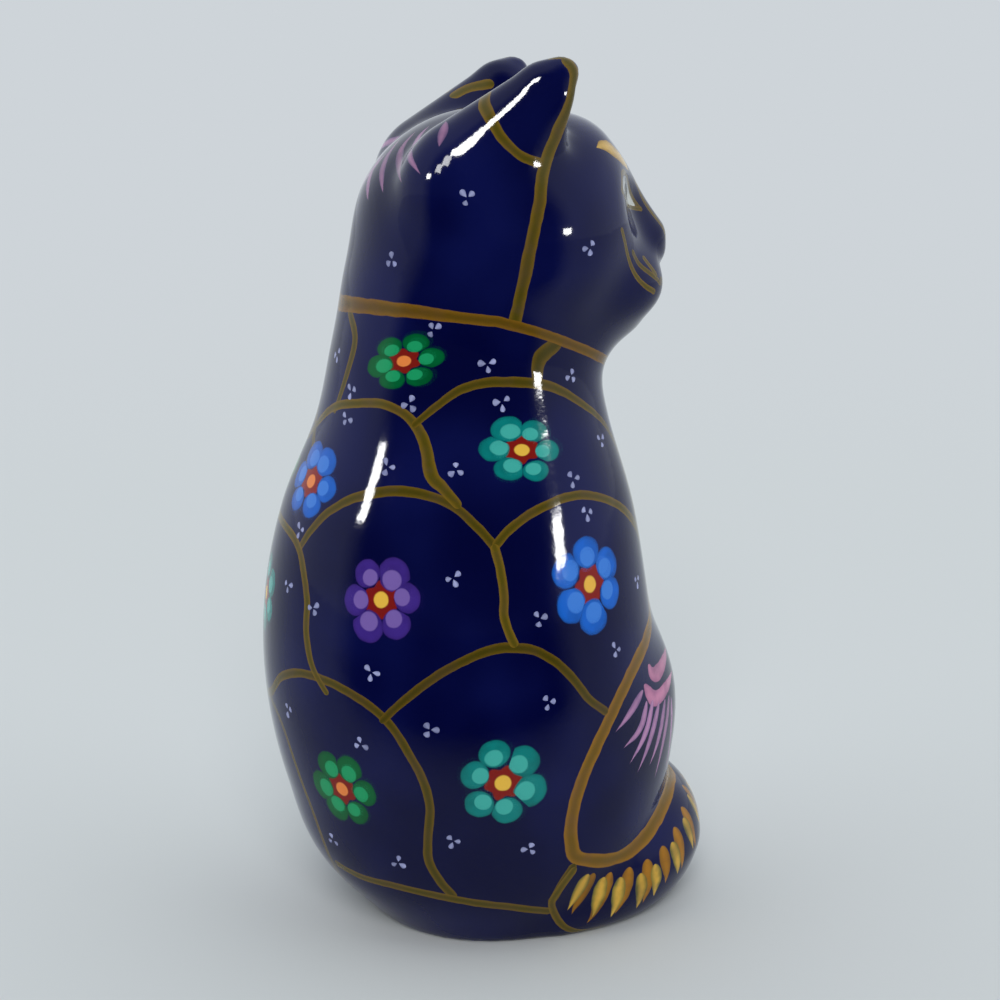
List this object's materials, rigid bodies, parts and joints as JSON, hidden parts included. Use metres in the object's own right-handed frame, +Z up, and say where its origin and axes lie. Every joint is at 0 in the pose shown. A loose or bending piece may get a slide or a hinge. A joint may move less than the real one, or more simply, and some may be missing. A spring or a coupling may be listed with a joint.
{
  "type": "painted ceramic cat figurine",
  "caption": "Seated cat figurine with pricked ears and a tail curled round the front of its base, in dark blue glaze with painted flowers and gold scale lines.",
  "frame": {"origin": "middle of the figure's box, on the flat underside", "axes": "+Z up from the underside to the ear tips, the cat faces -Y and its left side is +X"},
  "size_m": [0.0682, 0.0802, 0.15],
  "materials": {
    "painted_blue_glaze": "dark blue gloss lacquer over fired clay, with hand-painted gold scale lines, six-petalled flowers, small pale dots and a face"
  },
  "bodies": {
    "root": {"cat": "painted_blue_glaze"}
  },
  "joints": []
}
